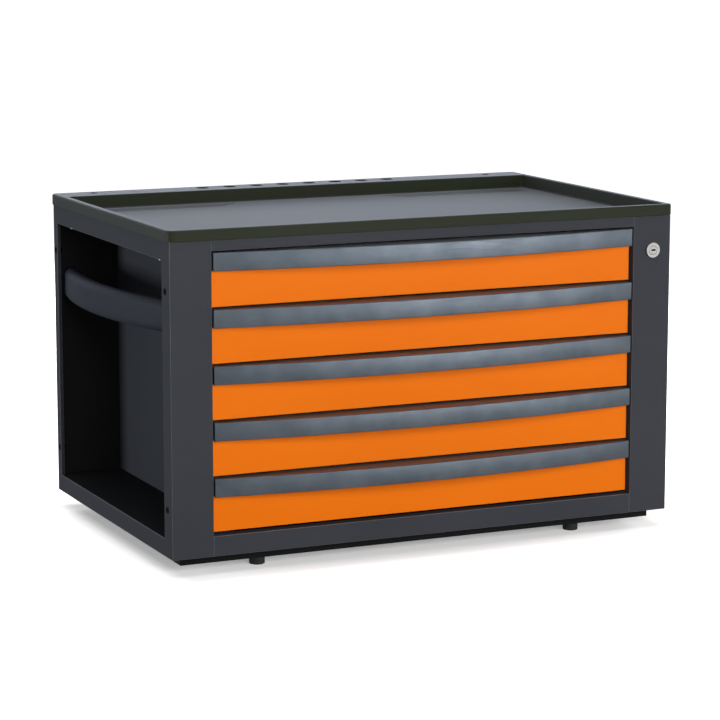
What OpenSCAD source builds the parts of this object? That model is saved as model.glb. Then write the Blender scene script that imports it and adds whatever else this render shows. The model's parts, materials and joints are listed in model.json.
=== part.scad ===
// Drawer tool cabinet for a bench top: a folded steel body with a niche in each side,
// five drawers on telescopic slides, bowed full-width drawer handles, a moulded worktop tray,
// a bowed lifting grip in each niche and one key lock that bars all the drawers.
// The floor is Z = 0, X runs along the front and the front faces -Y.

/* [Cabinet body] */
// Width of the body over its side panels
body_w = 735; // [700:1:800]
// Depth of the body from the front uprights to the rear flanges
body_d = 472; // [450:1:520]
// Height of the body without base and worktop
body_h = 415; // [395:1:480]
// Thickness of the folded steel sheet
sheet_t = 1.5; // [1:0.1:2]

/* [Front frame] */
// Width of each front upright
stile_w = 57.5; // [50:0.5:65]
// Height of the rail above the drawers
top_rail_h = 14; // [10:0.5:24]
// Height of the rail below the drawers
bottom_rail_h = 27; // [20:0.5:36]
// Depth of the rails' folded flanges
rail_d = 18; // [12:1:24]
// Free depth behind the closed drawer fronts
pillar_gap = 3; // [2.5:0.5:8]

/* [Side niches] */
// Distance from the side face to the panel at the back of the niche
niche_d = 94; // [80:1:110]
// Drop of the niche floor below the top of the bottom rail
floor_drop = 3.5; // [2.5:0.5:8]
// Height of the side panel above its window
window_top = 26; // [20:1:40]
// Width of the side panel behind its window
window_rear = 15; // [14:0.5:30]
// Width of the folded hem over the window
hem_d = 10; // [6:0.5:16]
// Width of the folded hem behind the window
rear_hem_d = 5; // [3:0.5:8]
// Width of the flange that holds the back panel
rear_flange_w = 20; // [12:1:40]

/* [Worktop tray] */
// Height of the tray
tray_h = 15; // [12:0.5:25]
// Overhang of the tray past the body
tray_overhang = 3; // [1:0.5:8]
// Depth of the tray's recess
tray_recess = 18.5; // [13:0.5:22]
// Thickness of the tray's floor
tray_floor_t = 2.5; // [2:0.1:4]
// Gap between the sunk part of the tray and the body
tray_gap = 0.5; // [0.2:0.1:1]
// Width of the rim at the sides and the front
tray_rim = 10; // [7:0.5:18]
// Depth of the ledge behind the recess
tray_ledge = 52; // [46:1:60]
// Corner radius of the tray in plan
tray_corner_r = 10; // [5:0.5:20]
// Corner radius of the recess in plan
recess_corner_r = 6; // [3:0.5:15]
// Wall of the hollow under the ledge
tray_wall = 3; // [2:0.5:5]
// Number of tool holes in the ledge
tool_hole_n = 8; // [4:1:10]
// Diameter of the tool holes
tool_hole_d = 18; // [12:0.5:19]
// Distance between tool holes
tool_hole_pitch = 42; // [30:1:50]
// Distance from the tray's rear edge to the tool holes
tool_hole_inset = 20.5; // [19.5:0.5:24]
// Diameter of the small hole near each end of the ledge
end_hole_d = 10; // [6:0.5:14]
// Distance from the tray's side to the end hole
end_hole_inset = 58; // [40:1:90]
// Extra radius of the holes in the sheet below the ledge
hole_clear = 1; // [0.5:0.5:2]
// Width of the shallow grooves in the tray floor
groove_w = 3; // [2:0.5:5]
// Depth of the grooves
groove_depth = 0.7; // [0.4:0.1:1]
// Distance between neighbouring grooves
groove_pitch = 11; // [8:0.5:16]
// Diameter of the locating pegs under the tray
peg_d = 8; // [5:0.5:12]
// Length of the pegs
peg_l = 6; // [4:0.5:8]
// Radial clearance of the pegs in the sheet
peg_clear = 0.2; // [0.1:0.1:0.5]
// Distance from the body's sides to the pegs
peg_side = 34; // [25:1:60]
// Distance from the front of the body to the front pegs
peg_front = 46; // [40:1:80]

/* [Base] */
// Visible height of the base under the body
plinth_h = 12.75; // [8:0.25:30]
// Setback of the base behind the rail flanges
plinth_setback = 2; // [2:0.5:20]
// Distance from the side face to the base
plinth_side = 17.5; // [5:0.5:60]
// Distance from the rear of the body to the base
plinth_rear = 20; // [8:1:60]
// Diameter of the feet
foot_d = 21; // [16:0.5:30]
// Height of the feet
foot_h = 11.25; // [8:0.25:25]
// Chamfer at the lower edge of the feet
foot_chamfer = 1; // [0.5:0.1:2]
// Distance of the feet from the middle
foot_x = 236; // [150:1:300]
// Distance from the base's front and rear to the foot centres
foot_inset = 15; // [12:0.5:40]
// Diameter of the foot screws
foot_screw_d = 4; // [3:0.5:5]
// Diameter of the foot screw heads
foot_screw_head_d = 8; // [7:0.5:10]
// Height of the foot screw heads
foot_screw_head_h = 2.4; // [1.5:0.1:3]
// Depth of the pocket for the screw head
foot_pocket = 4; // [3.5:0.1:6]
// Length of thread above the base's sheet
foot_screw_end = 5; // [3:0.5:10]
// Clearance round screws and their heads
screw_clear = 0.2; // [0.1:0.05:0.4]

/* [Drawers] */
// Gap between fronts and at their top and sides
front_gap = 2.5; // [1.5:0.1:4]
// Gap under the lowest front
bottom_gap = 4; // [2:0.1:6]
// Recess of the fronts behind the uprights
front_recess = 8; // [5:0.5:12]
// Depth of the folded fronts
front_d = 17; // [15:0.5:24]
// Sheet thickness of the fronts
front_t = 1.2; // [0.8:0.1:2]
// Overlap of the fronts' rear lips on the drawer box
lip_overlap = 7; // [4:0.5:9]
// Free depth behind the drawers, where tool shafts hang
rear_space = 44; // [30:1:70]
// Sheet thickness of the drawer boxes
box_t = 1.2; // [0.8:0.1:2]
// Height of the box floor above the front's lower edge
box_lift = 4; // [1:0.5:10]
// Drop of the box rim below the front's top
box_drop = 9; // [4:0.5:16]
// Height of the rim folded outwards on the drawer boxes
box_rim_h = 8; // [5:0.5:10]
// Thickness of the drawer mats
mat_t = 3; // [2:0.5:6]
// Gap round the mats
mat_gap = 1; // [0.5:0.5:4]
// Opening travel of a drawer
drawer_travel = 370; // [300:5:374]

/* [Drawer handles] */
// Height of the handle strip
handle_h = 24; // [16:0.5:30]
// Outward bow of the strip at the middle of the drawer
handle_bow = 23; // [10:0.5:35]
// Wall of the handle profile
handle_t = 2.5; // [1.5:0.1:4]

/* [Slides] */
// Thickness of a slide between cabinet and drawer
slide_t = 12.7; // [11:0.1:16]
// Height of a slide
slide_h = 35; // [32:0.5:45]
// Metal thickness of the slide members
slide_metal = 1.2; // [0.8:0.1:1.6]
// Height of the ball tracks between slide members
ball_gap = 2.6; // [2:0.1:3]
// Running gap of the ball cages
slide_clear = 0.2; // [0.1:0.05:0.3]
// Gap between the webs of the slide members
web_gap = 0.8; // [0.5:0.1:1]
// Start of the slides behind the uprights
slide_setback = 2; // [1:0.5:8]
// Distance of the ball cages from the ends of their tracks
cage_margin = 10; // [5:1:20]

/* [Side grips] */
// Height of the grip bar
grip_h = 44; // [32:1:50]
// Thickness of the grip bar
grip_t = 22; // [16:0.5:24]
// Radius of the bow in plan, at the outer face
grip_r = 620; // [560:5:900]
// Rounding of the bar's edges
grip_round = 10.5; // [3:0.5:10.5]
// Height of the bar's centre above the body's lower edge
grip_z = 302; // [250:0.5:330]
// Distance of the bow's outermost point from the front
grip_apex_y = 320; // [260:1:320]
// Least distance of that point from the back panel
grip_rear = 145; // [140:1:200]
// Least gap between the bar and the inner panel
grip_gap = 1; // [0.5:0.1:5]
// How far the bow stands out of the side face
grip_proud = 5; // [-10:0.5:6]
// Diameter of the grip screws
grip_screw_d = 4; // [3:0.5:5]
// Diameter of the grip screw heads
grip_screw_head_d = 8; // [7:0.5:10]
// Height of the grip screw heads
grip_screw_head_h = 2; // [1.5:0.1:2.2]
// Length of thread inside the grip
grip_screw_end = 12; // [8:0.5:16]
// Distance between the two screws at each end
grip_screw_pitch = 20; // [12:0.5:24]

/* [Side fasteners] */
// Thread bore of the inserts for side accessories
insert_bore_d = 4; // [3:0.5:5]
// Body diameter of the inserts
insert_d = 6; // [5.5:0.5:7]
// Flange diameter of the inserts
insert_flange_d = 9; // [8:0.5:11]
// Flange thickness of the inserts
insert_flange_t = 0.8; // [0.5:0.1:1.2]
// Length of the inserts behind the side panel
insert_l = 8; // [5:0.5:10]
// Height of the lower inserts above the body's lower edge
insert_low = 64; // [40:1:120]
// Height of the upper inserts above the body's lower edge
insert_high = 350; // [240:1:370]
// Distance of the front inserts from the front
insert_front = 17; // [10:0.5:20]
// Head diameter of the hem screws
hem_screw_head_d = 6; // [4:0.5:8]
// Head height of the hem screws
hem_screw_head_h = 2.2; // [1.2:0.1:3]
// Shank diameter of the hem screws
hem_screw_d = 3; // [2:0.5:4]
// Shank length of the hem screws above the hem
hem_screw_end = 7; // [4:0.5:12]
// Distance of the front hem screws from the window's front edge
hem_screw_front = 17; // [4.5:0.5:60]
// Distance of the rear hem screws from the window's rear edge
hem_screw_rear = 53; // [6:0.5:80]

/* [Lock] */
// Distance from the side face to the lock's axis
lock_from_side = 28; // [24:0.5:30]
// Distance from the body's top to the lock's axis
lock_drop = 47.5; // [44:0.5:56]
// Diameter of the lock collar
collar_d = 21; // [20:0.5:26]
// Height of the collar in front of the upright
collar_h = 3; // [2:0.1:5]
// Diameter of the lock barrel
barrel_d = 18; // [16:0.5:19]
// Length of the barrel behind the front face
barrel_l = 13; // [9:0.5:13.5]
// Radial clearance of the barrel in the upright
barrel_clear = 0.1; // [0.05:0.05:0.3]
// Diameter of the turning plug
plug_d = 12; // [9:0.5:13]
// Radial running clearance of the plug
plug_clear = 0.05; // [0.03:0.01:0.1]
// Length of the plug behind the barrel
plug_tail = 1; // [0.5:0.1:2]
// Width of the key slot, which lies flat while the lock is open
key_w = 7; // [5:0.1:8]
// Height of the key slot
key_h = 2; // [1:0.1:3]
// Depth of the key slot
key_depth = 6; // [3:0.5:10]
// Width of the lock nut across its flats
nut_w = 23; // [22:0.5:25]
// Thickness of the lock nut
nut_t = 4; // [3:0.5:5]
// Diameter of the crank disc
cam_d = 16; // [15.5:0.5:20]
// Thickness of the crank disc
cam_t = 2; // [1.5:0.1:2.5]
// Diameter of the crank pin
pin_d = 3.5; // [2.5:0.1:4]
// Thickness of the lock bar
bar_t = 2; // [1.5:0.1:2.5]
// Width of the lock bar
bar_w = 10; // [6:0.5:10.5]
// Downward travel of the lock bar when it locks
bar_travel = 8; // [6:0.1:9]
// Metal above and below the bar's slot for the crank pin
arm_edge = 4; // [3:0.5:5]
// Running gap round the lock bar
bar_clear = 0.4; // [0.3:0.05:0.5]
// Height of a locking finger
finger_h = 6; // [4:0.5:8]
// Reach of a finger past the drawer front's side wall
finger_reach = 3; // [2:0.5:6]
// Gap round the fingers in their slots
finger_gap = 1; // [0.7:0.1:1.5]
// Height of the fingers above the front's lower edge
finger_z = 30; // [18:0.5:34]
// Wall of the bar guides
guide_wall = 2; // [1.5:0.1:2.5]
// Height of the bar guides
guide_h = 10; // [6:0.5:14]

/* [Hidden] */
drawer_n = 5;
paint = "#3d3f44";
orange = "#ed780e";
strip_grey = "#6f7c88";
black_plastic = "#33352f";
grip_grey = "#303238";
black_rubber = "#1b1b1b";
zinc = "#b9bcc0";
box_grey = "#45474c";
nickel = "#c9c6c0";
$fn = 64;
arc_fn = 720;
cut = 1;

// Body levels and planes, with the front of the uprights at y = 0 until place() centres the part
z_body = foot_h + plinth_h;
z_top = z_body + body_h;
z_tray = z_top + tray_h;
half_w = body_w / 2;
open_w = body_w - 2 * stile_w;
open_z0 = z_body + bottom_rail_h;
open_z1 = z_top - top_rail_h;
z_floor = open_z0 - floor_drop;
tray_floor_z = z_tray - tray_recess;
z_deck = min(z_top, tray_floor_z - tray_floor_t);
z_ceiling = z_deck - sheet_t;
back_y = body_d - 2 * sheet_t;
pillar_d = front_recess + front_d + pillar_gap;
niche_y0 = pillar_d + sheet_t;
bay_w = body_w - 2 * (niche_d + sheet_t);
window_y1 = body_d - window_rear;
window_z1 = z_top - window_top;

// Middle of the whole part from front to back
y_front = -max(handle_bow, tray_overhang, collar_h);
y_rear = body_d + tray_overhang;
origin_y = -(y_front + y_rear) / 2;

// Worktop tray
tray_x = half_w + tray_overhang;
tray_y0 = -tray_overhang;
tray_y1 = body_d + tray_overhang;
ledge_y0 = tray_y1 - tray_ledge;
recess_x = tray_x - tray_rim;
recess_y0 = tray_y0 + tray_rim;
sunk_x = half_w - sheet_t - tray_gap;
tool_hole_y = tray_y1 - tool_hole_inset;
tool_hole_x0 = -(tool_hole_n - 1) * tool_hole_pitch / 2;
end_hole_x = tray_x - end_hole_inset;
peg_x = half_w - peg_side;
peg_rear_y = ledge_y0 - peg_d;

// Base
plinth_x = half_w - plinth_side;
plinth_y0 = rail_d + plinth_setback;
plinth_y1 = body_d - plinth_rear;

// Drawers, counted from the top
front_w = open_w - 2 * front_gap;
front_h = (open_z1 - open_z0 - drawer_n * front_gap - bottom_gap) / drawer_n;
drawer_pitch = front_h + front_gap;
front_y1 = front_recess + front_d;
box_w = bay_w - 2 * slide_t;
box_y1 = back_y - rear_space;
box_h = front_h - box_lift - box_drop;
function front_z(k) = open_z1 - k * drawer_pitch;
function box_z(k) = front_z(k) + box_lift;
function slide_z(k) = box_z(k) + box_h / 2;
handle_r = (front_w * front_w / 4 + handle_bow * handle_bow) / (2 * handle_bow);

// Slide members, measured from the bay wall towards the drawer
slide_y0 = pillar_d + slide_setback;
slide_len = box_y1 - slide_y0;
mid_u0 = slide_metal + web_gap;
mid_u1 = slide_t - slide_metal - web_gap;
inner_u0 = mid_u0 + slide_metal + web_gap;
mid_h = slide_h - 2 * (slide_metal + ball_gap);
inner_h = mid_h - 2 * (slide_metal + ball_gap);
cage_h = ball_gap - 2 * slide_clear;
cage_len = slide_len - drawer_travel / 2 - 2 * cage_margin;

// Side grips, an arc about a vertical line
grip_cx = half_w + grip_proud - grip_r;
grip_cy = min(grip_apex_y, back_y - grip_rear);
grip_mid_r = grip_r - grip_t / 2;
grip_edge_r = min(grip_round, grip_t / 2 - 0.5, grip_h / 2 - 0.5);
function grip_x(y) = grip_cx + sqrt(grip_mid_r * grip_mid_r - (y - grip_cy) * (y - grip_cy));
grip_span = 40;
grip_centre_z = z_body + grip_z;
grip_access_d = grip_screw_head_d + 2 * screw_clear;
grip_access_y = pillar_d - grip_screw_head_h - screw_clear;
grip_hole_d = grip_screw_d + 2 * screw_clear;
grip_screw_zs = [grip_centre_z - grip_screw_pitch / 2, grip_centre_z + grip_screw_pitch / 2];

// Side fasteners
insert_total = insert_flange_t + sheet_t + insert_l;
insert_rear = (window_y1 + sheet_t + back_y) / 2;
insert_ys = [insert_front, insert_rear];
insert_zs = [z_body + insert_low, z_body + insert_high];
hem_screw_ys = [niche_y0 + hem_screw_front, window_y1 - hem_screw_rear];
hem_screw_x = half_w - sheet_t - (hem_d - sheet_t) / 2;

// Lock
lock_x = half_w - lock_from_side;
lock_z = z_top - lock_drop;
plug_end = barrel_l + plug_tail;
bar_y0 = plug_end + cam_t + bar_clear;
bar_y1 = bar_y0 + bar_t;
bar_x0 = open_w / 2 + sheet_t + guide_wall + bar_clear;
bar_x1 = bar_x0 + bar_w;
crank_r = bar_travel / 2 / sin(45);
crank_x = lock_x + crank_r * cos(45);
crank_z = lock_z + crank_r * sin(45);
arm_h = pin_d + 2 * bar_clear + 2 * arm_edge;
finger_x0 = front_w / 2 - front_t - finger_reach;
function bar_finger_z(k) = front_z(k) + finger_z;

// A block between two opposite corners
module block(low, high) {
    translate(low)
        cube(high - low);
}

// A cylinder along Y between two planes
module rod_y(x, z, d, y0, y1) {
    translate([x, y0, z])
        rotate([-90, 0, 0])
            cylinder(d = d, h = y1 - y0);
}

// A cylinder along Z between two levels
module rod_z(x, y, d, z0, z1) {
    translate([x, y, z0])
        cylinder(d = d, h = z1 - z0);
}

// A rectangle with round corners between two opposite corners
module round_rect(low, high, r) {
    translate([low.x + r, low.y])
        square([high.x - low.x - 2 * r, high.y - low.y]);
    translate([low.x, low.y + r])
        square([high.x - low.x, high.y - low.y - 2 * r]);
    for (x = [low.x + r, high.x - r], y = [low.y + r, high.y - r])
        translate([x, y])
            circle(r = r);
}

// Moves a piece from the front datum to the centred frame
module place() {
    translate([0, origin_y, 0])
        children();
}

// The mirror image of a right-hand piece
module left_hand() {
    mirror([1, 0, 0])
        children();
}

// A piece on both sides
module both_sides() {
    children();
    left_hand()
        children();
}

// Folded side panel with its front upright, window and rear flange, right hand
module side_frame_sheet() {
    difference() {
        union() {
            block([half_w - sheet_t, 0, z_body], [half_w, body_d, z_top]);
            block([open_w / 2, 0, z_body], [half_w, sheet_t, z_top]);
            block([open_w / 2, 0, z_floor], [open_w / 2 + sheet_t, pillar_d, z_ceiling]);
            block([half_w - rear_flange_w, body_d - sheet_t, z_body], [half_w, body_d, z_top]);
            block([half_w - hem_d, niche_y0, window_z1], [half_w, window_y1 + sheet_t, window_z1 + sheet_t]);
            block(
                [half_w - rear_hem_d, window_y1, z_floor],
                [half_w, window_y1 + sheet_t, window_z1 + sheet_t]
            );
        }
        block([half_w - sheet_t - cut, niche_y0, z_floor], [half_w + cut, window_y1, window_z1]);
        for (y = insert_ys, z = insert_zs)
            translate([half_w, y, z])
                rotate([0, -90, 0])
                    translate([0, 0, -cut])
                        cylinder(d = insert_d + 2 * screw_clear, h = sheet_t + 2 * cut);
        for (y = hem_screw_ys)
            rod_z(hem_screw_x, y, hem_screw_d + 2 * screw_clear, window_z1 - cut, window_z1 + sheet_t + cut);
        for (z = grip_screw_zs) {
            rod_y(grip_x(niche_y0), z, grip_access_d, grip_access_y, pillar_d + cut);
            rod_y(grip_x(back_y), z, grip_access_d, back_y + sheet_t - cut, body_d + cut);
        }
    }
}

module left_side_frame() {
    color(paint)
        place()
            left_hand()
                side_frame_sheet();
}

// The right-hand upright also holds the lock and lets the locking fingers through
module right_side_frame() {
    color(paint)
        place()
            difference() {
                side_frame_sheet();
                rod_y(lock_x, lock_z, barrel_d + 2 * barrel_clear, -cut, sheet_t + cut);
                for (k = [1:drawer_n]) {
                    slot_z0 = bar_finger_z(k) - bar_travel - finger_gap;
                    slot_z1 = bar_finger_z(k) + finger_h + finger_gap;
                    block(
                        [open_w / 2 - cut, bar_y0 - finger_gap, slot_z0],
                        [open_w / 2 + sheet_t + cut, bar_y1 + finger_gap, slot_z1]
                    );
                }
            }
}

// Panel at the back of a niche, folded outwards behind the front upright, right hand
module inner_panel_sheet() {
    difference() {
        union() {
            block([bay_w / 2, pillar_d, z_floor], [bay_w / 2 + sheet_t, back_y, z_ceiling]);
            block([bay_w / 2, pillar_d, z_floor], [half_w - sheet_t, niche_y0, z_ceiling]);
        }
        for (z = grip_screw_zs)
            rod_y(grip_x(niche_y0), z, grip_hole_d, pillar_d - cut, niche_y0 + cut);
    }
}

module left_inner_panel() {
    color(paint)
        place()
            left_hand()
                inner_panel_sheet();
}

module right_inner_panel() {
    color(paint)
        place()
            inner_panel_sheet();
}

module back_panel() {
    color(paint)
        place()
            difference() {
                block([sheet_t - half_w, back_y, z_body], [half_w - sheet_t, back_y + sheet_t, z_top]);
                both_sides()
                    for (z = grip_screw_zs)
                        rod_y(grip_x(back_y), z, grip_hole_d, back_y - cut, back_y + sheet_t + cut);
            }
}

module bottom_panel() {
    color(paint)
        place()
            block([sheet_t - half_w, sheet_t, z_floor - sheet_t], [half_w - sheet_t, back_y, z_floor]);
}

// Positions of the holes in the tray ledge
module at_tool_holes() {
    for (i = [0:tool_hole_n - 1])
        translate([tool_hole_x0 + i * tool_hole_pitch, tool_hole_y, 0])
            children();
}

module at_end_holes() {
    for (x = [-end_hole_x, end_hole_x])
        translate([x, tool_hole_y, 0])
            children();
}

module at_pegs() {
    for (x = [-peg_x, peg_x], y = [peg_front, peg_rear_y])
        translate([x, y, 0])
            children();
}

module top_panel() {
    color(paint)
        place()
            difference() {
                block([sheet_t - half_w, sheet_t, z_ceiling], [half_w - sheet_t, back_y, z_deck]);
                at_tool_holes()
                    rod_z(0, 0, tool_hole_d + 2 * hole_clear, z_ceiling - cut, z_deck + cut);
                at_end_holes()
                    rod_z(0, 0, end_hole_d + 2 * hole_clear, z_ceiling - cut, z_deck + cut);
                at_pegs()
                    rod_z(0, 0, peg_d + 2 * peg_clear, z_ceiling - cut, z_deck + cut);
            }
}

module front_top_rail() {
    color(paint)
        place() {
            block([-open_w / 2, 0, open_z1], [open_w / 2, sheet_t, z_top]);
            block([-open_w / 2, 0, open_z1], [open_w / 2, rail_d, open_z1 + sheet_t]);
        }
}

module front_bottom_rail() {
    color(paint)
        place() {
            block([-open_w / 2, 0, z_body], [open_w / 2, sheet_t, open_z0]);
            block([-open_w / 2, 0, open_z0 - sheet_t], [open_w / 2, rail_d, open_z0]);
            block([-open_w / 2, 0, z_body], [open_w / 2, rail_d, z_body + sheet_t]);
        }
}

module at_feet() {
    for (x = [-foot_x, foot_x], y = [plinth_y0 + foot_inset, plinth_y1 - foot_inset])
        translate([x, y, 0])
            children();
}

// Folded base, open at the top, that carries the body on its feet
module plinth() {
    color(black_rubber)
        place()
            difference() {
                block([-plinth_x, plinth_y0, foot_h], [plinth_x, plinth_y1, z_floor - sheet_t]);
                block(
                    [sheet_t - plinth_x, plinth_y0 + sheet_t, foot_h + sheet_t],
                    [plinth_x - sheet_t, plinth_y1 - sheet_t, z_floor]
                );
                at_feet()
                    rod_z(0, 0, foot_screw_d + 2 * screw_clear, foot_h - cut, foot_h + sheet_t + cut);
            }
}

module feet() {
    color(black_rubber)
        place()
            at_feet()
                difference() {
                    union() {
                        cylinder(d1 = foot_d - 2 * foot_chamfer, d2 = foot_d, h = foot_chamfer);
                        rod_z(0, 0, foot_d, foot_chamfer, foot_h);
                    }
                    rod_z(0, 0, foot_screw_head_d + 2 * screw_clear, -cut, foot_pocket);
                    rod_z(0, 0, foot_screw_d + 2 * screw_clear, -cut, foot_h + cut);
                }
}

module foot_screws() {
    color(zinc)
        place()
            at_feet() {
                rod_z(0, 0, foot_screw_head_d, foot_pocket - foot_screw_head_h, foot_pocket);
                rod_z(0, 0, foot_screw_d, foot_pocket - foot_screw_head_h, foot_h + sheet_t + foot_screw_end);
            }
}

// A straight groove with round ends, in plan
module groove_line(from, to) {
    step = to - from;
    translate(from)
        rotate(atan2(step.y, step.x))
            translate([0, -groove_w / 2])
                square([norm(step), groove_w]);
    for (end = [from, to])
        translate(end)
            circle(d = groove_w);
}

// Drain grooves that step towards the middle of the recess, mirrored left and right
module tray_grooves() {
    groove_n = 3;
    jog = 3 * groove_pitch;
    edge = 2 * groove_pitch;
    for (side = [-1, 1], i = [0:groove_n - 1]) {
        y_low = recess_y0 + edge + i * groove_pitch;
        y_high = y_low + jog;
        x_out = side * (recess_x - edge);
        x_turn = side * (recess_x / 2 - i * groove_pitch);
        x_mid = side * (recess_x / 2 - i * groove_pitch - jog);
        groove_line([x_out, y_low], [x_turn, y_low]);
        groove_line([x_turn, y_low], [x_mid, y_high]);
        groove_line([x_mid, y_high], [side * edge, y_high]);
        y_back = ledge_y0 - edge - i * groove_pitch;
        groove_line([x_out, y_back], [side * (recess_x / 3 + i * groove_pitch), y_back]);
    }
}

module worktop_tray() {
    color(black_plastic)
        place()
            difference() {
                union() {
                    translate([0, 0, z_top])
                        linear_extrude(tray_h)
                            round_rect([-tray_x, tray_y0], [tray_x, tray_y1], tray_corner_r);
                    block([-sunk_x, sheet_t + tray_gap, z_deck], [sunk_x, back_y - tray_gap, z_top + cut]);
                    at_pegs()
                        rod_z(0, 0, peg_d, z_deck - peg_l, tray_floor_z);
                }
                translate([0, 0, tray_floor_z])
                    linear_extrude(tray_recess + cut)
                        round_rect([-recess_x, recess_y0], [recess_x, ledge_y0], recess_corner_r);
                translate([0, 0, tray_floor_z - groove_depth])
                    linear_extrude(groove_depth + cut)
                        tray_grooves();
                block(
                    [-recess_x, ledge_y0 + tray_wall, z_deck - cut],
                    [recess_x, tray_y1 - tray_rim, z_tray - tray_wall]
                );
                at_tool_holes()
                    rod_z(0, 0, tool_hole_d, z_top, z_tray + cut);
                at_end_holes()
                    rod_z(0, 0, end_hole_d, z_top, z_tray + cut);
            }
}

// Bowed lifting bar between the upright and the back panel, right hand
module grip_bar() {
    difference() {
        intersection() {
            translate([grip_cx, grip_cy, grip_centre_z])
                rotate(-grip_span)
                    rotate_extrude(angle = 2 * grip_span, $fn = arc_fn)
                        round_rect([grip_r - grip_t, -grip_h / 2], [grip_r, grip_h / 2], grip_edge_r);
            block([bay_w / 2 + sheet_t + grip_gap, niche_y0, z_body], [body_w, back_y, z_top]);
        }
        for (z = grip_screw_zs) {
            rod_y(grip_x(niche_y0), z, grip_hole_d, niche_y0 - cut, niche_y0 + grip_screw_end + cut);
            rod_y(grip_x(back_y), z, grip_hole_d, back_y - grip_screw_end - cut, back_y + cut);
        }
    }
}

module left_grip() {
    color(grip_grey)
        place()
            left_hand()
                grip_bar();
}

module right_grip() {
    color(grip_grey)
        place()
            grip_bar();
}

module grip_screws() {
    color(zinc)
        place()
            both_sides()
                for (z = grip_screw_zs) {
                    front_head = pillar_d - grip_screw_head_h;
                    rear_head = back_y + sheet_t + grip_screw_head_h;
                    rod_y(grip_x(niche_y0), z, grip_screw_head_d, front_head, pillar_d);
                    rod_y(grip_x(niche_y0), z, grip_screw_d, front_head, niche_y0 + grip_screw_end);
                    rod_y(grip_x(back_y), z, grip_screw_head_d, back_y + sheet_t, rear_head);
                    rod_y(grip_x(back_y), z, grip_screw_d, back_y - grip_screw_end, rear_head);
                }
}

// Threaded inserts in the side panels for accessories
module accessory_inserts() {
    color(black_rubber)
        place()
            both_sides()
                for (y = insert_ys, z = insert_zs)
                    translate([half_w, y, z])
                        rotate([0, -90, 0])
                            difference() {
                                union() {
                                    translate([0, 0, -insert_flange_t])
                                        cylinder(d = insert_flange_d, h = insert_flange_t);
                                    cylinder(d = insert_d, h = sheet_t + insert_l);
                                }
                                translate([0, 0, -insert_flange_t - cut])
                                    cylinder(d = insert_bore_d, h = insert_total + 2 * cut);
                            }
}

module hem_screws() {
    color(zinc)
        place()
            both_sides()
                for (y = hem_screw_ys) {
                    z_head = window_z1 - hem_screw_head_h;
                    rod_z(hem_screw_x, y, hem_screw_head_d, z_head, window_z1);
                    rod_z(hem_screw_x, y, hem_screw_d, z_head, window_z1 + sheet_t + hem_screw_end);
                }
}

// Frame of one drawer's slides: x from the bay wall to the drawer, y along the slide, z from its middle
module at_slides(k) {
    place()
        both_sides()
            translate([bay_w / 2, slide_y0, slide_z(k)])
                mirror([1, 0, 0])
                    children();
}

// A channel along Y whose open side faces the drawer
module channel(u0, u1, h) {
    z_in = h / 2 - slide_metal;
    difference() {
        block([u0, 0, -h / 2], [u1, slide_len, h / 2]);
        block([u0 + slide_metal, -cut, -z_in], [u1 + cut, slide_len + cut, z_in]);
    }
}

module slide_outer_rails() {
    color(zinc)
        for (k = [1:drawer_n])
            at_slides(k)
                channel(0, mid_u1, slide_h);
}

// Middle slide members of one drawer, with the cages of their outer and inner ball tracks
module runner(k) {
    outer_z = mid_h / 2 + slide_clear;
    inner_z = inner_h / 2 + slide_clear;
    color(zinc)
        at_slides(k) {
            channel(mid_u0, mid_u1, mid_h);
            for (flip = [0, 1])
                mirror([0, 0, flip]) {
                    block(
                        [inner_u0, slide_len - cage_margin - cage_len, outer_z],
                        [mid_u1, slide_len - cage_margin, outer_z + cage_h]
                    );
                    block(
                        [inner_u0, cage_margin, inner_z],
                        [mid_u1, cage_margin + cage_len, inner_z + cage_h]
                    );
                }
        }
}

// Slide members on the drawer, open towards the bay wall
module drawer_rails(k) {
    color(zinc)
        at_slides(k)
            translate([slide_t + inner_u0, 0, 0])
                mirror([1, 0, 0])
                    channel(inner_u0, slide_t, inner_h);
}

// Folded steel tray with a doubled rim
module drawer_box(k) {
    x_rim = box_w / 2 + box_t;
    z_rim = box_z(k) + box_h;
    color(box_grey)
        place()
            difference() {
                union() {
                    block([-box_w / 2, front_y1, box_z(k)], [box_w / 2, box_y1, z_rim]);
                    block([-x_rim, front_y1, z_rim - box_rim_h], [x_rim, box_y1 + box_t, z_rim]);
                }
                block(
                    [box_t - box_w / 2, front_y1 + box_t, box_z(k) + box_t],
                    [box_w / 2 - box_t, box_y1 - box_t, z_rim + cut]
                );
            }
}

module drawer_mat(k) {
    inset = box_t + mat_gap;
    color(black_rubber)
        place()
            block(
                [inset - box_w / 2, front_y1 + inset, box_z(k) + box_t],
                [box_w / 2 - inset, box_y1 - inset, box_z(k) + box_t + mat_t]
            );
}

// Folded front with lips that lie on the box, and a bayonet slot in its right wall for the locking finger
module drawer_front(k) {
    z0 = front_z(k);
    z1 = z0 + front_h - handle_t;
    slot_z0 = bar_finger_z(k) - finger_gap;
    slot_z1 = bar_finger_z(k) + finger_h + finger_gap;
    slot_x = front_w / 2 - front_t - cut;
    color(orange)
        place()
            difference() {
                block([-front_w / 2, front_recess, z0], [front_w / 2, front_y1, z1]);
                block(
                    [front_t - front_w / 2, front_recess + front_t, z0 + front_t],
                    [front_w / 2 - front_t, front_y1 - front_t, z1 - front_t]
                );
                block(
                    [front_t - front_w / 2, front_recess + front_t, box_z(k) + lip_overlap],
                    [front_w / 2 - front_t, front_y1 + cut, box_z(k) + box_h - lip_overlap]
                );
                block([slot_x, bar_y0 - finger_gap, slot_z0], [front_w / 2 + cut, front_y1 + cut, slot_z1]);
                block(
                    [slot_x, bar_y0 - finger_gap, slot_z0 - bar_travel],
                    [front_w / 2 + cut, bar_y1 + finger_gap, slot_z1]
                );
            }
}

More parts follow.
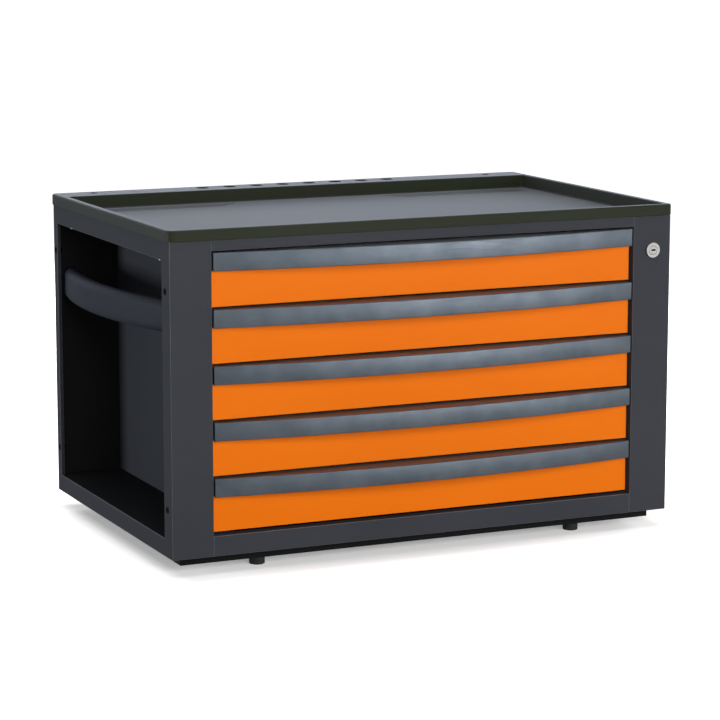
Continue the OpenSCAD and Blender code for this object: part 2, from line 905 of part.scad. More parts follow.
// Plan of the handle's bow: everything behind an arc of the given radius
module bow_plan(r, y_back) {
    intersection() {
        translate([0, handle_r - handle_bow])
            circle(r = r, $fn = arc_fn);
        translate([-front_w / 2, -handle_bow - cut])
            square([front_w, y_back + handle_bow + cut]);
    }
}

// Extruded handle: a flat web on top of the front and a bowed lip that hangs in front of it
module drawer_handle(k) {
    z_handle = front_z(k) + front_h;
    color(strip_grey)
        place() {
            translate([0, 0, z_handle - handle_t])
                linear_extrude(handle_t)
                    bow_plan(handle_r, front_y1);
            translate([0, 0, z_handle - handle_h])
                linear_extrude(handle_h)
                    difference() {
                        bow_plan(handle_r, front_recess);
                        bow_plan(handle_r - handle_t, front_recess + cut);
                    }
        }
}

module lock_barrel() {
    color(nickel)
        place()
            difference() {
                union() {
                    rod_y(lock_x, lock_z, collar_d, -collar_h, 0);
                    rod_y(lock_x, lock_z, barrel_d, -collar_h, barrel_l);
                }
                rod_y(lock_x, lock_z, plug_d + 2 * plug_clear, -collar_h - cut, barrel_l + cut);
            }
}

module lock_nut() {
    color(zinc)
        place()
            difference() {
                translate([lock_x, sheet_t, lock_z])
                    rotate([-90, 0, 0])
                        cylinder(d = nut_w / cos(30), h = nut_t, $fn = 6);
                rod_y(lock_x, lock_z, barrel_d + 2 * barrel_clear, sheet_t - cut, sheet_t + nut_t + cut);
            }
}

module lock_plug() {
    color(nickel)
        place()
            difference() {
                rod_y(lock_x, lock_z, plug_d, -collar_h, plug_end);
                block(
                    [lock_x - key_w / 2, -collar_h - cut, lock_z - key_h / 2],
                    [lock_x + key_w / 2, key_depth - collar_h, lock_z + key_h / 2]
                );
            }
}

// Crank disc behind the plug, with the pin that lowers the lock bar
module lock_cam() {
    color(zinc)
        place() {
            rod_y(lock_x, lock_z, cam_d, plug_end, plug_end + cam_t);
            rod_y(crank_x, crank_z, pin_d, plug_end + cam_t / 2, bar_y1 + bar_clear);
        }
}

// Flat bar behind the right upright, with one finger for each drawer and an arm to the lock
module lock_bar() {
    z_low = bar_finger_z(drawer_n) - finger_h;
    z_high = crank_z + arm_h / 2;
    slot_h = pin_d + 2 * bar_clear;
    slot_x0 = crank_x - pin_d / 2 - bar_clear;
    slot_x1 = lock_x + crank_r + pin_d / 2 + bar_clear;
    color(zinc)
        place()
            difference() {
                union() {
                    block([bar_x0, bar_y0, z_low], [bar_x1, bar_y1, z_high]);
                    block([bar_x0, bar_y0, crank_z - arm_h / 2], [slot_x1 + pin_d, bar_y1, z_high]);
                    for (k = [1:drawer_n]) {
                        z_finger = bar_finger_z(k);
                        block([finger_x0, bar_y0, z_finger], [bar_x1, bar_y1, z_finger + finger_h]);
                    }
                }
                block(
                    [slot_x0, bar_y0 - cut, crank_z - slot_h / 2],
                    [slot_x1, bar_y1 + cut, crank_z + slot_h / 2]
                );
            }
}

// Guides that hold the lock bar against the right upright
module lock_bar_guides() {
    wall = guide_wall + bar_clear;
    color(black_rubber)
        place()
            for (k = [1, 3, 5]) {
                z = bar_finger_z(k) - bar_travel - finger_gap - guide_h - finger_gap;
                difference() {
                    block(
                        [open_w / 2 + sheet_t, bar_y0 - wall, z],
                        [bar_x1 + wall, bar_y1 + wall, z + guide_h]
                    );
                    block(
                        [bar_x0 - bar_clear, bar_y0 - bar_clear, z - cut],
                        [bar_x1 + bar_clear, bar_y1 + bar_clear, z + guide_h + cut]
                    );
                }
            }
}

left_side_frame();
right_side_frame();
left_inner_panel();
right_inner_panel();
back_panel();
bottom_panel();
top_panel();
front_top_rail();
front_bottom_rail();
plinth();
feet();
foot_screws();
worktop_tray();
left_grip();
right_grip();
grip_screws();
accessory_inserts();
hem_screws();
slide_outer_rails();
lock_barrel();
lock_nut();
lock_bar_guides();
lock_plug();
lock_cam();
lock_bar();
for (k = [1:drawer_n]) {
    drawer_box(k);
    drawer_front(k);
    drawer_handle(k);
    drawer_mat(k);
    drawer_rails(k);
    runner(k);
}
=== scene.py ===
"""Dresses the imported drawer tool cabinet: refined pieces, procedural finishes, studio and camera."""
import json
import math

import bmesh
import bpy
from mathutils import Matrix, Vector


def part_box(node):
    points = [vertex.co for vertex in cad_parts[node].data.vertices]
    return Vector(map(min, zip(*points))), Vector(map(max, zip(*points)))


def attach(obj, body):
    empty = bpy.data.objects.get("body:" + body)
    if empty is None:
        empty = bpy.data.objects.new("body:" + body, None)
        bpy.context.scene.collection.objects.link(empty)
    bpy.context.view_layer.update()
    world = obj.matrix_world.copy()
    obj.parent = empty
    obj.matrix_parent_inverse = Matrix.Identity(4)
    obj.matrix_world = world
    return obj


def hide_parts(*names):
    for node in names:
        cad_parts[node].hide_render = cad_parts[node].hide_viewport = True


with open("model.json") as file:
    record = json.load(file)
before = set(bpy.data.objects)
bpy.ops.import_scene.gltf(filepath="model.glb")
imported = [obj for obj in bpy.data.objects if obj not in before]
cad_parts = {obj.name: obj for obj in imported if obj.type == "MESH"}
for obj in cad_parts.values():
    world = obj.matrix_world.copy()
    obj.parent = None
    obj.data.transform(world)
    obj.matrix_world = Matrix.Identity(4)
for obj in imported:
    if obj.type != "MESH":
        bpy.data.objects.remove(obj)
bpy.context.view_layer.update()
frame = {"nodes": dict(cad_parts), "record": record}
nodes = frame["nodes"]
body_of = {n: b for b, members in frame["record"]["behaviour"]["bodies"].items() for n in members}
slot_of = {s["node"]: s["material_slot"] for s in frame["record"]["subparts"]}
DRAWERS = range(1, 6)

# Sizes of the part in metres, in its frame
FRONT_Y = -0.226
HALF_FRONT = 0.3075
BOW = 0.023
HANDLE_T = 0.0025
GRIP_R, GRIP_T, GRIP_H, GRIP_ROUND = 0.62, 0.022, 0.044, 0.0105
GRIP_X, GRIP_Y, GRIP_Z = 0.3725, FRONT_Y + 0.320, 0.326
GRIP_Y0, GRIP_Y1 = FRONT_Y + 0.0295, FRONT_Y + 0.469
TRAY_X, TRAY_Y0, TRAY_Y1 = 0.3705, FRONT_Y - 0.003, FRONT_Y + 0.475
TRAY_DECK, TRAY_FLOOR, TRAY_Z0, TRAY_Z1 = 0.433, 0.4355, 0.439, 0.454
SUNK_X, SUNK_Y0, SUNK_Y1 = 0.3655, FRONT_Y + 0.002, FRONT_Y + 0.4685
RECESS_X, RECESS_Y0, RECESS_Y1 = 0.3605, FRONT_Y + 0.007, FRONT_Y + 0.423
TRAY_CORNER, SUNK_CORNER, RECESS_CORNER, RECESS_CORNER_MIN = 0.010, 0.003, 0.006, 0.0015
LEDGE_WALL, LEDGE_REAR_WALL = 0.003, 0.010
HOLE_COUNT, HOLE_PITCH, HOLE_R, HOLE_FLARE, HOLE_CUT = 8, 0.042, 0.009, 0.0012, 0.010
HOLE_Y, END_HOLE_X, END_HOLE_R = FRONT_Y + 0.4545, 0.3125, 0.005
GROOVE_W, GROOVE_D, GROOVE_PITCH, GROOVE_EDGE, GROOVE_JOG = 0.003, 0.0007, 0.011, 0.022, 0.033
PEG_X, PEG_Y0, PEG_Y1 = 0.3335, FRONT_Y + 0.046, FRONT_Y + 0.415
PEG_R, PEG_H, PEG_CHAMFER, PEG_ROOT = 0.004, 0.006, 0.0006, 0.0002

# Cutters reach this far past the face that they open
OVER = 0.001


# Shader helpers
def add(nt, kind, inputs=None, **props):
    node = nt.nodes.new(kind)
    for key, value in props.items():
        setattr(node, key, value)
    for key, value in (inputs or {}).items():
        node.inputs[key].default_value = value
    return node


def noise(nt, scale, detail=2.0, stretch=None):
    source = add(nt, "ShaderNodeTexCoord").outputs["Object"]
    if stretch:
        mapping = add(nt, "ShaderNodeMapping", {"Scale": stretch})
        nt.links.new(source, mapping.inputs["Vector"])
        source = mapping.outputs["Vector"]
    tex = add(nt, "ShaderNodeTexNoise", {"Scale": scale, "Detail": detail, "Roughness": 0.5})
    nt.links.new(source, tex.inputs["Vector"])
    return tex.outputs[0]


def mapped(nt, value, low, high, start=0.3, end=0.7):
    """Carries a value from start to end over to low to high, and holds it there beyond them."""
    limits = {"From Min": start, "From Max": end, "To Min": low, "To Max": high}
    node = add(nt, "ShaderNodeMapRange", limits)
    nt.links.new(value, node.inputs["Value"])
    return node.outputs["Result"]


def ramp(nt, value, stops):
    node = add(nt, "ShaderNodeValToRGB")
    elements = node.color_ramp.elements
    while len(elements) < len(stops):
        elements.new(0.5)
    for element, (place, colour) in zip(elements, stops):
        element.position = place
        element.color = (*colour, 1.0)
    nt.links.new(value, node.inputs["Fac"])
    return node.outputs["Color"]


def math_step(nt, operation, value, other):
    """One math node on a socket and a number or a second socket."""
    node = add(nt, "ShaderNodeMath", operation=operation)
    nt.links.new(value, node.inputs[0])
    if isinstance(other, (int, float)):
        node.inputs[1].default_value = other
    else:
        nt.links.new(other, node.inputs[1])
    return node.outputs[0]


def parts_of(nt, vector):
    node = add(nt, "ShaderNodeSeparateXYZ")
    nt.links.new(vector, node.inputs[0])
    return node.outputs


def place_parts(nt):
    return parts_of(nt, add(nt, "ShaderNodeTexCoord").outputs["Object"])


def facing_parts(nt):
    return parts_of(nt, add(nt, "ShaderNodeNewGeometry").outputs["True Normal"])


def bumped(nt, height, depth, strength, below=None):
    node = add(nt, "ShaderNodeBump", {"Strength": strength, "Distance": depth})
    nt.links.new(height, node.inputs["Height"])
    if below:
        nt.links.new(below, node.inputs["Normal"])
    return node.outputs["Normal"]


def surface_input(nt, name):
    return nt.nodes["Principled BSDF"].inputs[name]


def paint_over(nt, mask, colour):
    """Lays a second colour over a finish where the mask is one."""
    base = surface_input(nt, "Base Color")
    mix = add(nt, "ShaderNodeMix", {"B": (*colour, 1)}, data_type="RGBA")
    nt.links.new(mask, mix.inputs["Factor"])
    nt.links.new(base.links[0].from_socket, mix.inputs["A"])
    nt.links.new(mix.outputs["Result"], base)


def shade_by(nt, factor):
    """Scales the colour of a finish by a socket."""
    base = surface_input(nt, "Base Color")
    scaled = add(nt, "ShaderNodeVectorMath", operation="SCALE")
    nt.links.new(base.links[0].from_socket, scaled.inputs[0])
    nt.links.new(factor, scaled.inputs["Scale"])
    nt.links.new(scaled.outputs["Vector"], base)


def finish(name, dark, light, rough, grain, depth, strength, mottle=4.0, stretch=None, **sockets):
    """A finish with broad colour drift, fine grain in its gloss and a grain bump."""
    mat = bpy.data.materials.new(name)
    mat.use_nodes = True
    nt = mat.node_tree
    drift = noise(nt, mottle, 4.0)
    nt.links.new(ramp(nt, drift, [(0.3, dark), (0.7, light)]), surface_input(nt, "Base Color"))
    fine = noise(nt, grain, 2.0, stretch)
    nt.links.new(mapped(nt, fine, *rough), surface_input(nt, "Roughness"))
    peel = bumped(nt, noise(nt, grain / 6, 2.0, stretch), depth * 2, strength * 0.6)
    nt.links.new(bumped(nt, fine, depth, strength, peel), surface_input(nt, "Normal"))
    for key, value in sockets.items():
        surface_input(nt, key.replace("_", " ")).default_value = value
    return mat


# Finishes: two colours, range of roughness, grain per metre, its depth in metres and its strength
finishes = {
    "body_paint": finish(
        "body_paint", (0.038, 0.040, 0.047), (0.045, 0.047, 0.055), (0.52, 0.62), 1500, 0.00006, 0.30
    ),
    # Glossier paint for rounded folds, lighter in colour as a painted highlight
    "fold_highlight_paint": finish(
        "fold_highlight_paint", (0.070, 0.074, 0.082), (0.082, 0.086, 0.095), (0.30, 0.38), 1500, 0.00004, 0.20,
        Specular_IOR_Level=0.6,
    ),
    "base_paint": finish(
        "base_paint", (0.005, 0.005, 0.005), (0.008, 0.008, 0.008), (0.55, 0.65), 1300, 0.00008, 0.30,
        Specular_IOR_Level=0.12,
    ),
    "front_paint": finish(
        "front_paint", (0.79, 0.158, 0.002), (0.82, 0.170, 0.003), (0.40, 0.48), 1100, 0.00004, 0.18,
        Specular_IOR_Level=0.09,
    ),
    "box_paint": finish(
        "box_paint", (0.050, 0.053, 0.060), (0.060, 0.063, 0.070), (0.45, 0.56), 1400, 0.00006, 0.30
    ),
    "handle_aluminium": finish(
        "handle_aluminium", (0.100, 0.121, 0.146), (0.150, 0.176, 0.206), (0.34, 0.48),
        900, 0.00002, 0.15, 24.0, (0.02, 1.0, 1.0), Metallic=0.7,
    ),
    "tray_plastic": finish(
        "tray_plastic", (0.018, 0.021, 0.012), (0.022, 0.026, 0.015), (0.46, 0.54), 1000, 0.00005, 0.22,
        Specular_IOR_Level=0.12, Sheen_Roughness=0.35, Sheen_Tint=(0.73, 0.77, 0.97, 1.0),
    ),
    "grip_plastic": finish(
        "grip_plastic", (0.022, 0.025, 0.034), (0.027, 0.030, 0.040), (0.50, 0.60), 1200, 0.00005, 0.25,
        Specular_IOR_Level=0.12,
    ),
    "guide_plastic": finish(
        "guide_plastic", (0.014, 0.014, 0.014), (0.020, 0.020, 0.020), (0.45, 0.55), 900, 0.00005, 0.30
    ),
    "foot_rubber": finish(
        "foot_rubber", (0.012, 0.012, 0.011), (0.020, 0.020, 0.018), (0.65, 0.80), 700, 0.00010, 0.40
    ),
    "mat_rubber": finish(
        "mat_rubber", (0.018, 0.018, 0.019), (0.026, 0.026, 0.028), (0.60, 0.75), 800, 0.00008, 0.40
    ),
    "insert_steel": finish(
        "insert_steel", (0.004, 0.004, 0.005), (0.006, 0.006, 0.007), (0.55, 0.65), 1200, 0.00003, 0.20,
        Specular_IOR_Level=0.06,
    ),
    "zinc_steel": finish(
        "zinc_steel", (0.55, 0.56, 0.58), (0.66, 0.67, 0.69), (0.24, 0.36), 500, 0.00002, 0.15,
        60.0, (1.0, 0.05, 1.0), Metallic=1.0,
    ),
    "lock_nickel": finish(
        "lock_nickel", (0.34, 0.325, 0.31), (0.42, 0.405, 0.39), (0.40, 0.50), 1500, 0.00001, 0.10,
        200.0, Metallic=1.0,
    ),
}

# Behind the handles the fronts are painted dark grey, not orange: painted shade in the gap between handle
# and front
nt = finishes["front_paint"].node_tree
low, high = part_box("drawer_5_handle")
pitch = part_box("drawer_4_handle")[0].z - low.z
strip = place_parts(nt)["Z"]
for operation, operand in (("SUBTRACT", low.z), ("DIVIDE", pitch), ("FRACT", 0.0)):
    strip = math_step(nt, operation, strip, operand)
strip = math_step(nt, "LESS_THAN", strip, (high.z - low.z) / pitch)
paint_over(nt, strip, (0.012, 0.012, 0.013))

# The handles' upper flanges lie under the front above: their upward faces are painted darker as the shade
# there, and carry a faint sheen
nt = finishes["handle_aluminium"].node_tree
upward = facing_parts(nt)["Z"]
shade_by(nt, mapped(nt, upward, 1.0, 0.35, 0.6, 0.95))
nt.links.new(mapped(nt, upward, 0.0, 0.035, 0.6, 0.95), surface_input(nt, "Sheen Weight"))

# Inside the body, the back panel and the floor are painted dark with little gloss: painted shade inside the
# body
nt = finishes["body_paint"].node_tree
place, facing = place_parts(nt), facing_parts(nt)
slack = 0.001
rear = math_step(
    nt, "MULTIPLY", math_step(nt, "LESS_THAN", facing["Y"], -0.5),
    math_step(nt, "GREATER_THAN", place["Y"], GRIP_Y1 - slack),
)
under = math_step(
    nt, "MULTIPLY", math_step(nt, "GREATER_THAN", facing["Z"], 0.5),
    math_step(nt, "LESS_THAN", place["Z"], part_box("bottom_panel")[1].z + slack / 2),
)
painted_inside_shade = math_step(nt, "MAXIMUM", rear, under)
paint_over(nt, painted_inside_shade, (0.014, 0.014, 0.015))
nt.links.new(mapped(nt, painted_inside_shade, 0.08, 0.01, 0.0, 1.0), surface_input(nt, "Specular IOR Level"))

# The tray's grooves carry painted shade and dust, so they are darker than its floor, with less sheen
nt = finishes["tray_plastic"].node_tree
above = mapped(nt, place_parts(nt)["Z"], 0.2, 1.0, TRAY_FLOOR - 0.0005, TRAY_FLOOR - 0.0001)
shade_by(nt, above)
nt.links.new(math_step(nt, "MULTIPLY", above, 0.21), surface_input(nt, "Sheen Weight"))


# Mesh helpers
def mesh_from(name, bm, sharp=40):
    bmesh.ops.recalc_face_normals(bm, faces=bm.faces)
    mesh = bpy.data.meshes.new(name)
    bm.to_mesh(mesh)
    bm.free()
    mesh.shade_smooth()
    mesh.set_sharp_from_angle(angle=math.radians(sharp))
    return mesh


def tube(bm, rings):
    """Skins closed rings of points that all have the same count, and caps both ends."""
    rows = [[bm.verts.new(p) for p in ring] for ring in rings]
    count = len(rows[0])
    for a, b in zip(rows, rows[1:]):
        for i in range(count):
            j = (i + 1) % count
            bm.faces.new((a[i], a[j], b[j], b[i]))
    bm.faces.new(rows[0][::-1])
    bm.faces.new(rows[-1])


def arc(cx, cy, r, start, end, steps):
    """Points of an arc in degrees, ends included."""
    angles = (math.radians(start + (end - start) * i / steps) for i in range(steps + 1))
    return [(cx + r * math.cos(a), cy + r * math.sin(a)) for a in angles]


def round_rect(x0, y0, x1, y1, r, steps=8):
    return (
        arc(x1 - r, y0 + r, r, -90, 0, steps)
        + arc(x1 - r, y1 - r, r, 0, 90, steps)
        + arc(x0 + r, y1 - r, r, 90, 180, steps)
        + arc(x0 + r, y0 + r, r, 180, 270, steps)
    )


def lathe(bm, x, y, profile, segments=48):
    """A turned solid about a vertical line, from (radius, height) pairs."""
    turn = [2 * math.pi * i / segments for i in range(segments)]
    tube(bm, [[(x + r * math.cos(a), y + r * math.sin(a), z) for a in turn] for r, z in profile])


def piece(name, mesh, node):
    """A refined piece that stands for a CAD node, with that node's body and finish."""
    obj = bpy.data.objects.new(name, mesh)
    bpy.context.scene.collection.objects.link(obj)
    mesh.materials.append(finishes[slot_of[node]])
    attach(obj, body_of[node])
    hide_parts(node)
    return obj


def soften(obj, width, segments=2, angle=40, weld_gap=0.00001, flat_angle=0.3):
    """Welds a CAD node and rounds its folded or turned edges without touching its mesh."""
    weld = obj.modifiers.new("weld", "WELD")
    weld.merge_threshold = weld_gap
    flat = obj.modifiers.new("flat", "DECIMATE")
    flat.decimate_type = "DISSOLVE"
    flat.angle_limit = math.radians(flat_angle)
    bevel = obj.modifiers.new("edge", "BEVEL")
    bevel.width = width
    bevel.segments = segments
    bevel.limit_method = "ANGLE"
    bevel.angle_limit = math.radians(angle)
    bevel.use_clamp_overlap = False
    obj.modifiers.new("normals", "WEIGHTED_NORMAL").keep_sharp = True


# Drawer handles: an extruded strip with a rounded nose, bowed in plan
def handle_profile(x, z0, z1, y_back):
    radius = (HALF_FRONT**2 + BOW**2) / (2 * BOW)
    centre = FRONT_Y + radius - BOW
    y_out = centre - math.sqrt(radius**2 - x**2)
    y_in = centre - math.sqrt((radius - HANDLE_T) ** 2 - x**2)
    nose, fillet, toe, heel = 0.0012, 0.0015, 0.0009, 0.0005
    points = arc(y_out + nose, z1 - nose, nose, 180, 90, 6)
    points += arc(y_back - heel, z1 - heel, heel, 90, 0, 2)
    points += [(y_back, z1 - HANDLE_T)]
    points += arc(y_in + fillet, z1 - HANDLE_T - fillet, fillet, 90, 180, 4)
    points += arc(y_in - toe, z0 + toe, toe, 0, -90, 4)
    points += arc(y_out + toe, z0 + toe, toe, -90, -180, 4)
    return [(x, y, z) for y, z in points]


def handle_mesh(name, low, high, steps=128):
    stations = [HALF_FRONT * (2 * i / steps - 1) for i in range(steps + 1)]
    bm = bmesh.new()
    tube(bm, [handle_profile(x, low.z, high.z, high.y) for x in stations])
    return mesh_from(name, bm)


for k in DRAWERS:
    node = f"drawer_{k}_handle"
    piece(f"handle_{k}", handle_mesh(f"handle_{k}", *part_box(node)), node)


# Side grips: a rounded bar bent in plan and cut flat at both ends
def grip_rings(side, steps=112):
    section = round_rect(GRIP_R - GRIP_T, -GRIP_H / 2, GRIP_R, GRIP_H / 2, GRIP_ROUND)
    rings = []
    for i in range(steps + 1):
        ring = []
        for r, z in section:
            a0 = math.asin((GRIP_Y0 - GRIP_Y) / r)
            a1 = math.asin((GRIP_Y1 - GRIP_Y) / r)
            a = a0 + (a1 - a0) * i / steps
            x = side * (GRIP_X - GRIP_R + r * math.cos(a))
            ring.append((x, GRIP_Y + r * math.sin(a), GRIP_Z + z))
        rings.append(ring)
    return rings


for name, side in (("left_grip", -1), ("right_grip", 1)):
    bm = bmesh.new()
    tube(bm, grip_rings(side))
    piece(f"{name}_bar", mesh_from(name, bm), name)


# Drawer mats: ribbed rubber sheet
def mat_mesh(name, low, high, pitch=0.005, rib=0.0008, edge=0.0006):
    count = round((high.x - low.x) / pitch)
    step = (high.x - low.x) / count
    top = []
    for i in range(count):
        x = low.x + i * step
        valley = [(x, high.z - rib), (x + step * 0.25, high.z - rib)]
        top += valley + [(x + step * 0.4, high.z), (x + step * 0.85, high.z)]
    top += [(high.x, high.z - rib)]
    section = [(low.x, low.z)] + top + [(high.x, low.z)]
    ends = [low.y, low.y + edge, high.y - edge, high.y]
    drop = [edge, 0.0, 0.0, edge]
    bm = bmesh.new()
    tube(bm, [[(x, y, max(low.z, z - d)) for x, z in section] for y, d in zip(ends, drop)])
    return mesh_from(name, bm, 25)


for k in DRAWERS:
    node = f"drawer_{k}_mat"
    piece(f"mat_{k}", mat_mesh(f"mat_{k}", *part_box(node)), node)


# Worktop tray: rounded rim, drafted recess with filleted floor, flared tool holes and shallow grooves
def flat_ring(half_x, y0, y1, corner, inset, z):
    """A rounded rectangle at height z, drawn in by the inset."""
    outline = round_rect(-half_x + inset, y0 + inset, half_x - inset, y1 - inset, corner)
    return [(x, y, z) for x, y in outline]


def tray_rings():
    def sunk(z):
        return flat_ring(SUNK_X, SUNK_Y0, SUNK_Y1, SUNK_CORNER, 0.0, z)

    def outer(inset, z):
        return flat_ring(TRAY_X, TRAY_Y0, TRAY_Y1, TRAY_CORNER - inset, inset, z)

    def inner(inset, z):
        corner = max(RECESS_CORNER - inset, RECESS_CORNER_MIN)
        return flat_ring(RECESS_X, RECESS_Y0, RECESS_Y1, corner, inset, z)

    chamfer, edge, lip, fillet, draft = 0.0005, 0.0025, 0.0015, 0.0025, 0.0006
    foot = draft + fillet
    rings = [sunk(TRAY_DECK), sunk(TRAY_Z0), outer(chamfer, TRAY_Z0), outer(0.0, TRAY_Z0 + chamfer)]
    rings += [outer(edge + a, TRAY_Z1 - edge + b) for a, b in arc(0, 0, edge, 180, 90, 6)]
    rings += [inner(-lip + a, TRAY_Z1 - lip + b) for a, b in arc(0, 0, lip, 90, 0, 4)]
    rings += [inner(foot + a, TRAY_FLOOR + fillet + b) for a, b in arc(0, 0, fillet, 180, 270, 5)]
    return rings


def box_cutter(bm, low, high):
    low, high = Vector(low), Vector(high)
    place = Matrix.Translation((low + high) / 2) @ Matrix.Diagonal((*(high - low), 1))
    bmesh.ops.create_cube(bm, size=1.0, matrix=place)


def hole_cutter(bm, x, r):
    """A round hole with a flared mouth, from the hollow under the ledge up."""
    mouth = arc(r + HOLE_FLARE, TRAY_Z1 - HOLE_FLARE, HOLE_FLARE, 180, 90, 4)
    start, end = (r, TRAY_Z1 - HOLE_CUT), (r + HOLE_FLARE, TRAY_Z1 + OVER)
    lathe(bm, x, HOLE_Y, [start] + mouth + [end])


def groove_cutter(bm, start, end):
    a, b = Vector(start), Vector(end)
    along = (b - a).normalized()
    heading = math.degrees(math.atan2(along.y, along.x))
    outline = arc(b.x, b.y, GROOVE_W / 2, heading - 90, heading + 90, 8)
    outline += arc(a.x, a.y, GROOVE_W / 2, heading + 90, heading + 270, 8)
    tube(bm, [[(x, y, z) for x, y in outline] for z in (TRAY_FLOOR - GROOVE_D, TRAY_FLOOR + OVER)])


def groove_lines():
    """The drain grooves' straight runs, by the same rule as the part's own grooves."""
    for side in (-1, 1):
        for i in range(3):
            shift = i * GROOVE_PITCH
            low = RECESS_Y0 + GROOVE_EDGE + shift
            x_out, x_turn = side * (RECESS_X - GROOVE_EDGE), side * (RECESS_X / 2 - shift)
            x_mid = side * (RECESS_X / 2 - shift - GROOVE_JOG)
            yield (x_out, low), (x_turn, low)
            yield (x_turn, low), (x_mid, low + GROOVE_JOG)
            yield (x_mid, low + GROOVE_JOG), (side * GROOVE_EDGE, low + GROOVE_JOG)
            back = RECESS_Y1 - GROOVE_EDGE - shift
            yield (x_out, back), (side * (RECESS_X / 3 + shift), back)


def cut(obj, bm, name):
    """Subtracts the cutter from obj and keeps the result as obj's mesh."""
    bmesh.ops.recalc_face_normals(bm, faces=bm.faces)
    mesh = bpy.data.meshes.new(name)
    bm.to_mesh(mesh)
    bm.free()
    tool = bpy.data.objects.new(name, mesh)
    bpy.context.scene.collection.objects.link(tool)
    mod = obj.modifiers.new("cut", "BOOLEAN")
    mod.operation = "DIFFERENCE"
    mod.solver = "EXACT"
    mod.use_self = True
    mod.object = tool
    graph = bpy.context.evaluated_depsgraph_get()
    result = bpy.data.meshes.new_from_object(obj.evaluated_get(graph))
    obj.modifiers.clear()
    obj.data = result
    bpy.data.objects.remove(tool)
    bpy.data.meshes.remove(mesh)


bm = bmesh.new()
tube(bm, tray_rings())
tray = bpy.data.objects.new("tray", mesh_from("tray", bm))
bpy.context.scene.collection.objects.link(tray)

# The hollow ledge with its holes is cut first, then the grooves
bm = bmesh.new()
box_cutter(
    bm, (-RECESS_X, RECESS_Y1 + LEDGE_WALL, TRAY_DECK - OVER),
    (RECESS_X, TRAY_Y1 - LEDGE_REAR_WALL, TRAY_Z1 - LEDGE_WALL),
)
for i in range(HOLE_COUNT):
    hole_cutter(bm, HOLE_PITCH * (i - (HOLE_COUNT - 1) / 2), HOLE_R)
for x in (-END_HOLE_X, END_HOLE_X):
    hole_cutter(bm, x, END_HOLE_R)
cut(tray, bm, "hole_cutter")
bm = bmesh.new()
for start, end in groove_lines():
    groove_cutter(bm, start, end)
cut(tray, bm, "groove_cutter")

# Four pegs under the deck locate the tray
bm = bmesh.new()
bm.from_mesh(tray.data)
tip = TRAY_DECK - PEG_H
peg = [(PEG_R - PEG_CHAMFER, tip), (PEG_R, tip + PEG_CHAMFER), (PEG_R, TRAY_DECK + PEG_ROOT)]
for x in (-PEG_X, PEG_X):
    for y in (PEG_Y0, PEG_Y1):
        lathe(bm, x, y, peg, 32)
tray_mesh = mesh_from("worktop", bm, 30)
tray_mesh.materials.clear()
bpy.data.objects.remove(tray)
worktop = piece("worktop", tray_mesh, "worktop_tray")
worktop.modifiers.new("normals", "WEIGHTED_NORMAL").keep_sharp = True

# Other CAD nodes keep their shape. The last of these words in a node's name sets how its edges are rounded
edges = {
    "side_frame": 0.0005, "panel": 0.0004, "plinth": 0.0006, "feet": 0.0005, "screws": 0.0004,
    "inserts": 0.0002, "lock": 0.0003, "lock_nut": 0.0005, "box": 0.0004, "front": 0.0006,
    "rails": 0.0003, "runner": 0.0003,
}
for name, obj in nodes.items():
    if obj.hide_render:
        continue
    obj.data.materials.clear()
    obj.data.materials.append(finishes[slot_of[name]])
    width = next(w for key, w in reversed(list(edges.items())) if key in name)
    soften(obj, width)
    # The paint on rounded folds is glossier, and lighter in colour as a painted highlight
    if slot_of[name] == "body_paint":
        obj.data.materials.append(finishes["fold_highlight_paint"])
        obj.modifiers["edge"].material = 1


# Studio: pale floor with a painted shadow round the part, soft lights and a white backdrop
def by_ray(nt, kinds, bounced):
    """Mixes shaders by the kind of ray that meets them, with one for bounced light."""
    path = add(nt, "ShaderNodeLightPath")
    result = bounced
    for kind, shader in kinds:
        mix = add(nt, "ShaderNodeMixShader")
        nt.links.new(path.outputs[kind], mix.inputs["Fac"])
        nt.links.new(result.outputs[0], mix.inputs[1])
        nt.links.new(shader.outputs[0], mix.inputs[2])
        result = mix
    return result.outputs[0]


def distance_to_footprint(nt, middle, half):
    """How far a place on the floor lies outside a rectangle, in metres."""
    source = add(nt, "ShaderNodeTexCoord").outputs["Object"]
    steps = (
        ("SUBTRACT", middle), ("ABSOLUTE", None), ("SUBTRACT", half),
        ("MAXIMUM", (0, 0, 0)), ("LENGTH", None),
    )
    for operation, value in steps:
        step = add(nt, "ShaderNodeVectorMath", operation=operation)
        nt.links.new(source, step.inputs[0])
        if value:
            step.inputs[1].default_value = value
        source = step.outputs["Value" if operation == "LENGTH" else "Vector"]
    return source


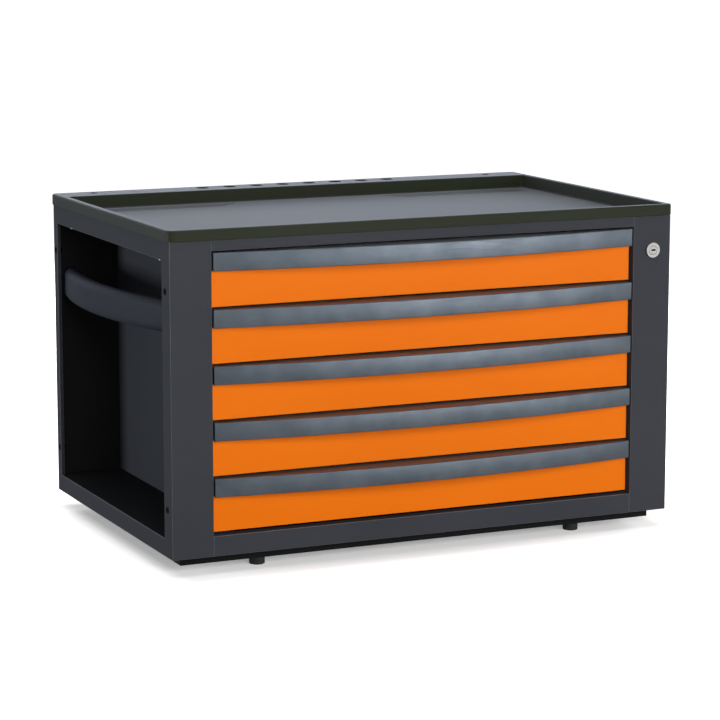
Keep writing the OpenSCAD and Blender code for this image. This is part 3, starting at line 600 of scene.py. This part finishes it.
def floor_material():
    """White paper to the camera, pale in reflections and grey to bounced light, so dark sides stay dark;
    its lift is weaker near the part, a painted shadow round the footprint.
    """
    mat = bpy.data.materials.new("floor")
    mat.use_nodes = True
    nt = mat.node_tree
    nt.nodes.remove(nt.nodes["Principled BSDF"])
    paper = add(nt, "ShaderNodeBsdfDiffuse", {"Color": (0.93, 0.91, 0.90, 1)})
    away = distance_to_footprint(nt, (0.022, -0.008, 0), (0.37, 0.24, 0))
    lift_with_painted_shadow = add(nt, "ShaderNodeEmission", {"Color": (1, 1, 1, 1)})
    # Painted shadow: the lift is weakest at the part's footprint and full 6 cm out
    nt.links.new(mapped(nt, away, 0.28, 1.0, 0.0, 0.06), lift_with_painted_shadow.inputs["Strength"])
    seen = add(nt, "ShaderNodeAddShader")
    nt.links.new(paper.outputs[0], seen.inputs[0])
    nt.links.new(lift_with_painted_shadow.outputs[0], seen.inputs[1])
    shown = add(nt, "ShaderNodeEmission", {"Color": (1, 1, 1, 1), "Strength": 0.25})
    grey = add(nt, "ShaderNodeBsdfDiffuse", {"Color": (0.18, 0.18, 0.18, 1)})
    rays = [("Is Glossy Ray", shown), ("Is Transmission Ray", shown), ("Is Camera Ray", seen)]
    nt.links.new(by_ray(nt, rays, grey), nt.nodes["Material Output"].inputs["Surface"])
    return mat


bm = bmesh.new()
bmesh.ops.create_grid(bm, x_segments=1, y_segments=1, size=30)
floor = bpy.data.objects.new("floor", mesh_from("floor", bm))
bpy.context.scene.collection.objects.link(floor)
floor.data.materials.append(floor_material())


def area_light(name, place, target, size, power, colour=(1, 1, 1)):
    data = bpy.data.lights.new(name, "AREA")
    data.shape = "RECTANGLE"
    data.size, data.size_y = size
    data.energy = power
    data.color = colour
    obj = bpy.data.objects.new(name, data)
    bpy.context.scene.collection.objects.link(obj)
    obj.location = place
    obj.rotation_mode = "QUATERNION"
    obj.rotation_quaternion = (Vector(target) - Vector(place)).to_track_quat("-Z", "Y")
    obj.visible_camera = False
    return obj


# Lights: place, target and size in metres, and power in watts
area_light("key", (1.05, -2.15, 0.36), (0.0, -0.2, 0.25), (1.3, 0.9), 17)
area_light("fill", (-0.40, -2.40, 0.90), (0.0, -0.2, 0.25), (1.6, 1.2), 43).visible_glossy = False
area_light("left", (-2.4, 0.32, 0.36), (-0.35, 0.05, 0.25), (0.9, 0.6), 24, (0.92, 0.97, 1.0))
area_light("top", (0.1, -0.1, 2.4), (0, 0, 0.4), (2.0, 1.6), 32)
for name, place in (("right", (2.5, 0.1, 0.7)), ("back", (0.4, 2.6, 0.8))):
    area_light(name, place, (0, 0, 0.25), (1.4, 1.0), 52).visible_glossy = False

# The backdrop is white behind the part, and the room reflected in it is dimmer towards the front
world = bpy.data.worlds.new("studio")
bpy.context.scene.world = world
world.use_nodes = True
nt = world.node_tree
soft = nt.nodes["Background"]
soft.inputs["Color"].default_value = (0.95, 0.97, 1.0, 1)
soft.inputs["Strength"].default_value = 0.06
heading = parts_of(nt, add(nt, "ShaderNodeTexCoord").outputs["Generated"])["Y"]
room = add(nt, "ShaderNodeBackground", {"Color": (0.82, 0.90, 1.0, 1)})
nt.links.new(mapped(nt, heading, 0.25, 0.8, -0.3, 0.6), room.inputs["Strength"])
white = add(nt, "ShaderNodeBackground", {"Color": (1, 1, 1, 1), "Strength": 1.0})
rays = [("Is Glossy Ray", room), ("Is Transmission Ray", room), ("Is Camera Ray", white)]
nt.links.new(by_ray(nt, rays, soft), nt.nodes["World Output"].inputs["Surface"])

# The camera stands far off at the front left and looks a little down, as in the photograph
cam_data = bpy.data.cameras.new("camera")
cam_data.sensor_width = 36.0
cam_data.lens = 136.1
camera = bpy.data.objects.new("camera", cam_data)
bpy.context.scene.collection.objects.link(camera)
camera.location = (-1.5579, -3.4465, 0.8816)
azimuth, elevation = math.radians(-24.33), math.radians(9.83)
level = Vector((-math.sin(azimuth), math.cos(azimuth), 0.0))
forward = level * math.cos(elevation) - Vector((0.0, 0.0, math.sin(elevation)))
camera.rotation_mode = "QUATERNION"
camera.rotation_quaternion = forward.to_track_quat("-Z", "Y")
bpy.context.scene.camera = camera
bpy.context.scene.view_settings.view_transform = "Standard"
